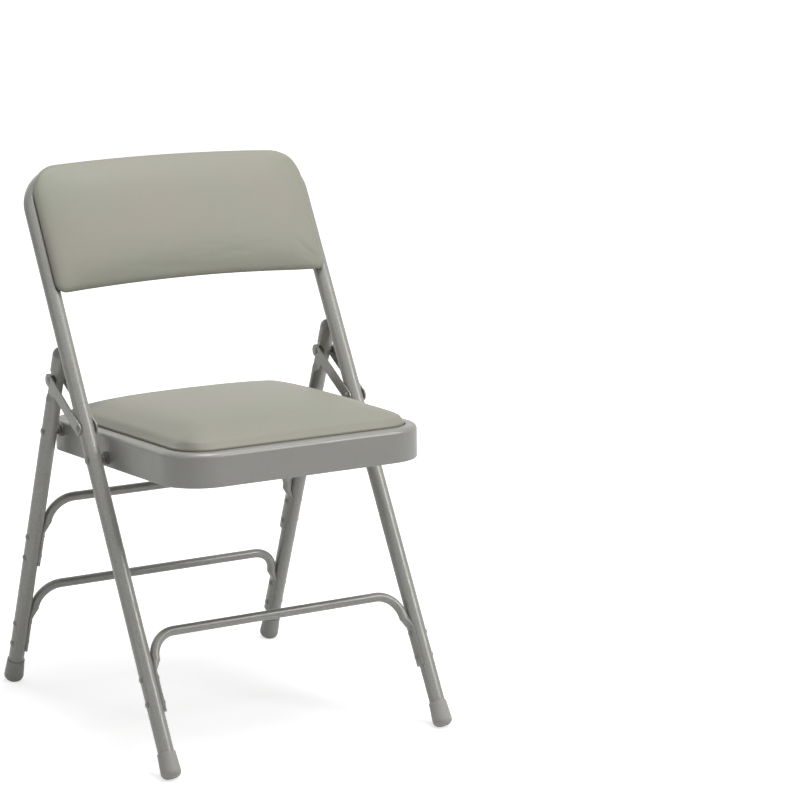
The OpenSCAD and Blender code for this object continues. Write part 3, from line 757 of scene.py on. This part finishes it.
def pullFolds(piece, low, size, space):
    # short shallow folds in the front face, each fading out at its ends
    setup = backPadSetup
    back = space.transposed()
    crease = piece.data.attributes.new("crease", "FLOAT", "POINT")
    out = space @ Vector((0, 0, 1))
    lines = []
    for start, end, depth in setup["folds"]:
        first = Vector((start[0] * size.x, start[1] * size.y))
        lines.append((first, Vector((end[0] * size.x, end[1] * size.y)) - first, depth))
    for v in piece.data.vertices:
        p = back @ v.co
        if p.z < low.z + 0.5 * size.z:
            continue
        place = Vector((p.x - low.x, p.y - low.y))
        along = Vector((place.x * setup["foldWaves"], place.y * setup["foldWaves"], 0))
        bend = setup["foldWaver"] * noise.noise(along)
        total = 0.0
        for first, run, depth in lines:
            share = (place - first).dot(run) / run.length_squared
            if 0 < share < 1:
                across = ((place - first).cross(run) / run.length + bend) / setup["foldHalf"]
                total += depth * math.sin(math.pi * share) * math.exp(-across * across)
        if total > 1e-5:
            crease.data[v.index].value = min(1.0, total / setup["foldDeepest"])
            v.co -= out * total


def makeBackPad():
    setup = backPadSetup
    low, high = spanIn(backSpace, "back_pad")
    panelHigh = spanIn(backSpace, "back_cover")[1]
    front = dict(
        half=high.x, low=low.y, high=high.y - setup["bow"], lowRound=setup["frontRounds"][0],
        highRound=setup["frontRounds"][1], lowArch=setup["arch"], highBow=setup["bow"],
    )
    rear = dict(
        half=panelHigh.x, low=low.y + setup["rearLift"], high=panelHigh.y,
        lowRound=setup["rearRounds"][0], highRound=setup["rearRounds"][1], lowArch=setup["arch"],
    )
    outlines = {"front": front, "rear": rear}
    rim = low.z + setup["sides"][-1][1]
    wide, tall = 2 * high.x, high.y - low.y
    bm = padBlock(setup["cuts"])
    for v in bm.verts:
        a, b, c = v.co
        level = round((c + 1) / 2 * (len(setup["sides"]) - 1))
        which, height, inset = setup["sides"][level]
        x, y = onOutline(a, b, drawnIn(outlines[which], inset))
        z = low.z + height
        if c > blockSide:
            sideIn, topIn, lowIn = (1 - abs(a)) * wide / 2, (1 - b) * tall / 2, (1 + b) * tall / 2
            roll = (
                quarter(sideIn / setup["rollSide"]) * quarter(topIn / setup["rollTop"])
                * quarter(lowIn / setup["rollLow"])
            )
            z = rim + (high.z - rim) * crowned(a, b, roll, setup)
        v.co = (x, y, z)
    pad = addPiece("backPad", bm, backSpace)

    def pinned(p):
        return 1.0 if p.z < rim + setup["pinAbove"] else 0.0

    swell(pad, backSpace, pinned, setup["swelling"])
    refine(pad)
    pullFolds(pad, low, high - low, backSpace)
    coverWith(pad, backVinyl)
    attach(pad, "frame")
    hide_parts("back_pad")
    print("back pad made:", len(pad.data.polygons), "faces")


makeBackPad()


# ---- rear panel of the back ----

rearPanelSetup = dict(
    topRound=0.039, lowRound=0.016, arch=0.0075, edge=0.0012,
    archReach=0.025,  # how far up from the lower edge the arch acts
    archCuts=24, cornerSteps=10, edgeSteps=3,
    sharpFrom=0.8,  # edges that turn more than this are rounded, radians
)


def makeRearPanel():
    low, high = spanIn(backSpace, "back_cover")
    bm = bmesh.new()
    bmesh.ops.create_grid(bm, x_segments=1, y_segments=1, size=0.5)
    for v in bm.verts:
        v.co = Vector((v.co.x * 2 * high.x, low.y if v.co.y < 0 else high.y, low.z))
    for top, radius in ((True, rearPanelSetup["topRound"]), (False, rearPanelSetup["lowRound"])):
        corners = [v for v in bm.verts if (v.co.y > (low.y + high.y) / 2) == top]
        bmesh.ops.bevel(
            bm, geom=corners, offset=radius, offset_type="OFFSET", affect="VERTICES",
            segments=rearPanelSetup["cornerSteps"], profile=0.5, material=-1,
        )
    bottom = [e for e in bm.edges if all(abs(v.co.y - low.y) < 1e-6 for v in e.verts)]
    bmesh.ops.subdivide_edges(bm, edges=bottom, cuts=rearPanelSetup["archCuts"])
    for v in bm.verts:
        if v.co.y < low.y + rearPanelSetup["archReach"]:
            v.co.y += rearPanelSetup["arch"] * (1 - (v.co.x / high.x) ** 2)
    raised = bmesh.ops.extrude_face_region(bm, geom=bm.faces[:])
    for v in raised["geom"]:
        if isinstance(v, bmesh.types.BMVert):
            v.co.z = high.z
    sharp = rearPanelSetup["sharpFrom"]
    rim = [e for e in bm.edges if len(e.link_faces) == 2 and e.calc_face_angle() > sharp]
    bmesh.ops.bevel(
        bm, geom=rim, offset=rearPanelSetup["edge"], offset_type="OFFSET", affect="EDGES",
        segments=rearPanelSetup["edgeSteps"], profile=0.5, material=-1,
    )
    bmesh.ops.recalc_face_normals(bm, faces=bm.faces)
    panel = addPiece("rearPanel", bm, backSpace)
    panel.data.materials.append(panelVinyl)
    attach(panel, "frame")
    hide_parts("back_cover")
    print("rear panel made")


makeRearPanel()


# ---- seat cushion ----

cushionSetup = dict(
    cuts=(58, 58, 5),
    rounds=(0.043, 0.014),  # front and rear corner radius
    sides=[  # (height above the board, inset), from the underside up
        (0.0000, 0.0004), (0.0006, 0.0000), (0.0020, 0.0000), (0.0035, 0.0002),
        (0.0055, 0.0006), (0.0075, 0.0014), (0.0095, 0.0026),
    ],
    roll=0.030,
    rollShare=0.42,
    crownPowers=(2.3, 2.3),
    swelling=dict(pressure=4.0, stiffness=24.0, cap=0.005, soften=14),
    clear=0.0002,  # room under the cushion
    pinAbove=0.004,
)


def makeCushion():
    setup = cushionSetup
    low, high = spanIn(seatSpace, "seat_cushion")
    boardHigh = spanIn(seatSpace, "seat_board")[1]
    outline = dict(
        half=high.x, low=low.y, high=high.y,
        lowRound=setup["rounds"][0], highRound=setup["rounds"][1],
    )
    base = boardHigh.z + setup["clear"]
    rim = base + setup["sides"][-1][0]
    wide, deep = 2 * high.x, high.y - low.y
    bm = padBlock(setup["cuts"])
    skirt = []
    for face in bm.faces:
        if all(v.co.z < -blockSide for v in face.verts):
            if any(max(abs(v.co.x), abs(v.co.y)) > blockSide for v in face.verts):
                skirt.append(face)
    for v in bm.verts:
        a, b, c = v.co
        level = round((c + 1) / 2 * (len(setup["sides"]) - 1))
        height, inset = setup["sides"][level]
        x, y = onOutline(a, b, drawnIn(outline, inset))
        z = base + height
        if c > blockSide:
            sideIn, endIn = (1 - abs(a)) * wide / 2, (1 - abs(b)) * deep / 2
            roll = quarter(sideIn / setup["roll"]) * quarter(endIn / setup["roll"])
            z = rim + (high.z - rim) * crowned(a, b, roll, setup)
        v.co = (x, y, z)
    lowered = bmesh.ops.extrude_face_region(bm, geom=skirt)
    for v in lowered["geom"]:
        if isinstance(v, bmesh.types.BMVert):
            v.co.z = low.z + setup["clear"]
    bmesh.ops.recalc_face_normals(bm, faces=bm.faces)
    cushion = addPiece("seatCushion", inFixedOrder(bm), seatSpace)

    def pinned(p):
        return 1.0 if p.z < base + setup["pinAbove"] else 0.0

    swell(cushion, seatSpace, pinned, setup["swelling"])
    refine(cushion)
    coverWith(cushion, seatVinyl)
    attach(cushion, "seat")
    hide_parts("seat_cushion")
    print("seat cushion made:", len(cushion.data.polygons), "faces")


makeCushion()


# ---- screws with a cross recess ----

screwSetup = dict(
    head=0.0024, shank=0.0020, crossLong=0.0046, crossWide=0.0009, crossDeep=0.0011,
    dome=[  # (share of the head's radius, height), from the middle out
        (0, 0), (0.45, 0.0001), (0.75, 0.0004), (0.93, 0.0010), (1, 0.0018),
    ],
    creaseFrom=35.0,  # edges sharper than this stay crisp, degrees
)


def addLathe(bm, profile, place, steps=28):
    # turns a profile of (radius, height) once round the z axis through place
    verts = [bm.verts.new(place + Vector((radius, 0, height))) for radius, height in profile]
    edges = [bm.edges.new(pair) for pair in zip(verts, verts[1:])]
    bmesh.ops.spin(
        bm, geom=verts + edges, cent=place, axis=(0, 0, 1), angle=2 * math.pi,
        steps=steps, use_merge=True,
    )
    bmesh.ops.remove_doubles(bm, verts=bm.verts, dist=1e-6)


def makeScrews(name, nodeName, space, link):
    # each screw's head is at its low end
    setup = screwSetup
    bm, cuts = bmesh.new(), bmesh.new()
    for low, high in islandsIn(space, nodeName):
        top = Vector(((low.x + high.x) / 2, (low.y + high.y) / 2, low.z))
        radius, length = (high.x - low.x) / 2, high.z - low.z
        dome = [(share * radius, height) for share, height in setup["dome"]]
        addLathe(bm, dome + [
            (radius, setup["head"]), (setup["shank"], setup["head"]),
            (setup["shank"], length), (0, length),
        ], top)
        slot = (setup["crossLong"], setup["crossWide"])
        for across, along in (slot, slot[::-1]):
            size = Matrix.Diagonal((across, along, 2 * setup["crossDeep"], 1))
            bmesh.ops.create_cube(cuts, size=1, matrix=Matrix.Translation(top) @ size)
    bmesh.ops.recalc_face_normals(bm, faces=bm.faces)
    screws = addPiece(name, inFixedOrder(bm), space)
    cutter = addPiece("crossCutter", inFixedOrder(cuts), space, smooth=False)
    cross = screws.modifiers.new("cross", "BOOLEAN")
    cross.operation = "DIFFERENCE"
    cross.solver = "EXACT"
    cross.use_self = True
    cross.object = cutter
    applyModifiers(screws)
    bpy.data.objects.remove(cutter)
    coverWith(screws, zincSteel)
    screws.data.set_sharp_from_angle(angle=math.radians(setup["creaseFrom"]))
    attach(screws, link)
    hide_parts(nodeName)
    print(name, "made:", len(screws.data.polygons), "faces")


makeScrews("backScrews", "back_screws", backSpace, "frame")
makeScrews("seatScrews", "seat_screws", seatSpace, "seat")


# ---- weld beads where the tabs meet the tubes ----

weldSetup = dict(
    radius=0.0015, ripple=0.00018, ripples=11, steps=14,
    taper=8,  # the ends taper over one part in this many of the length
)


def makeWelds():
    setup = weldSetup
    tubeLow, tubeHigh = spanIn(backSpace, "front_frame_tube")
    tubeRadius = (tubeHigh.z - tubeLow.z) / 2
    axisX, axisZ = tubeHigh.x - tubeRadius, tubeLow.z + tubeRadius
    bm = bmesh.new()
    for low, high in islandsIn(backSpace, "back_tabs"):
        side = 1 if low.x > 0 else -1
        reach = math.sqrt(tubeRadius ** 2 - (axisZ - low.z) ** 2)
        length = high.y - low.y
        profile = [(0, 0)]
        points = 4 * setup["ripples"]
        for i in range(1, points):
            t = i / points
            ends = min(1, quarter(t * setup["taper"]), quarter((1 - t) * setup["taper"]))
            ripple = setup["ripple"] * math.sin(2 * math.pi * setup["ripples"] * t)
            profile.append((setup["radius"] * ends + ripple, t * length))
        profile.append((0, length))
        bead = bmesh.new()
        addLathe(bead, profile, Vector(), steps=setup["steps"])
        # laid along the tab's edge: the lathe's axis becomes the space's y
        place = Matrix.Translation((side * (axisX - reach), low.y, low.z))
        turned = Matrix.Rotation(-math.pi / 2, 4, "X")
        bmesh.ops.transform(bead, matrix=place @ turned, verts=bead.verts)
        bmesh.ops.recalc_face_normals(bead, faces=bead.faces)
        mesh = bpy.data.meshes.new("bead")
        bead.to_mesh(mesh)
        bead.free()
        bm.from_mesh(mesh)
        bpy.data.meshes.remove(mesh)
    welds = addPiece("tabWelds", inFixedOrder(bm), backSpace)
    welds.data.materials.append(frameCoat)
    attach(welds, "frame")
    print("welds made:", len(welds.data.polygons), "faces")


makeWelds()
